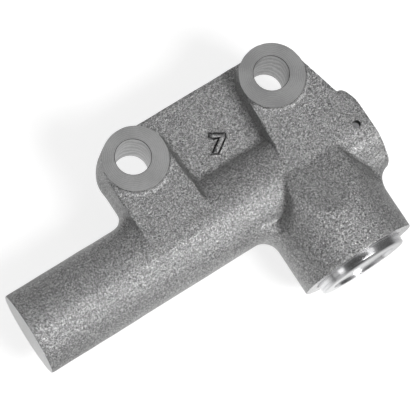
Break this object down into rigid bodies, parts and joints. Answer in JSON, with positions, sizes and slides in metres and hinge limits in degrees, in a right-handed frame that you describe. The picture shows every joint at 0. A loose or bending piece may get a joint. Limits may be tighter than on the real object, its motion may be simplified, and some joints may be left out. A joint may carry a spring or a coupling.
{
  "type": "hydraulic timing belt tensioner",
  "caption": "Cast hydraulic belt tensioner with a sliding adjuster rod, a spring-loaded oil reservoir square to its barrel, and bosses for the mounting bolts.",
  "frame": {"origin": "on the axis of the left mounting hole, in the seating face of the mounting bosses", "axes": "+X along the barrel towards the rod, +Y from the barrel towards the mounting bosses, +Z along the mounting holes, from the seating face towards the bolt heads"},
  "size_m": [0.0983, 0.0594, 0.0304],
  "materials": {
    "casting": "shot-blasted casting skin with machined faces",
    "cap": "bright plated, turned",
    "rod": "hard chromed and ground",
    "turned_steel": "fine turned",
    "pressed_steel": "satin, pressed",
    "spring_steel": "oiled spring steel",
    "ball": "polished",
    "bush": "turned bronze",
    "rubber": "matte",
    "wear_ring": "natural, matte"
  },
  "bodies": {
    "cylinder": {"cylinder_body": "casting", "reservoir_cap": "cap", "cap_o_ring": "rubber", "rod_guide_bush": "bush", "seal_backing_washer": "turned_steel", "rod_seal_case": "pressed_steel", "rod_seal_lip": "rubber", "seal_garter_spring": "spring_steel", "rod_snap_ring": "spring_steel", "return_spring": "spring_steel", "spring_seat": "pressed_steel", "plunger_spring": "spring_steel"},
    "rod": {"adjuster_rod": "rod", "rod_piston": "turned_steel", "piston_wear_ring": "wear_ring", "ball_cage": "pressed_steel", "check_spring": "spring_steel"},
    "plunger": {"reservoir_plunger": "turned_steel", "plunger_seal": "rubber", "plunger_wear_ring": "wear_ring"},
    "ball": {"check_ball": "ball"}
  },
  "joints": [
    {"name": "rod_slide", "type": "slide", "parent": "cylinder", "child": "rod", "axis": [1, 0, 0], "range_m": [0, 0.016], "deforming": ["return_spring"]},
    {"name": "plunger_slide", "type": "slide", "parent": "cylinder", "child": "plunger", "axis": [0, 1, 0], "range_m": [0, 0.004], "deforming": ["plunger_spring"]},
    {"name": "ball_lift", "type": "slide", "parent": "rod", "child": "ball", "axis": [-1, 0, 0], "range_m": [0, 0.0006], "stiffness_N_per_m": 100, "springref_m": -0.001, "deforming": ["check_spring"]}
  ],
  "couplings": [
    {"joint": "plunger_slide", "follows": "rod_slide", "ratio": 0.25}
  ]
}
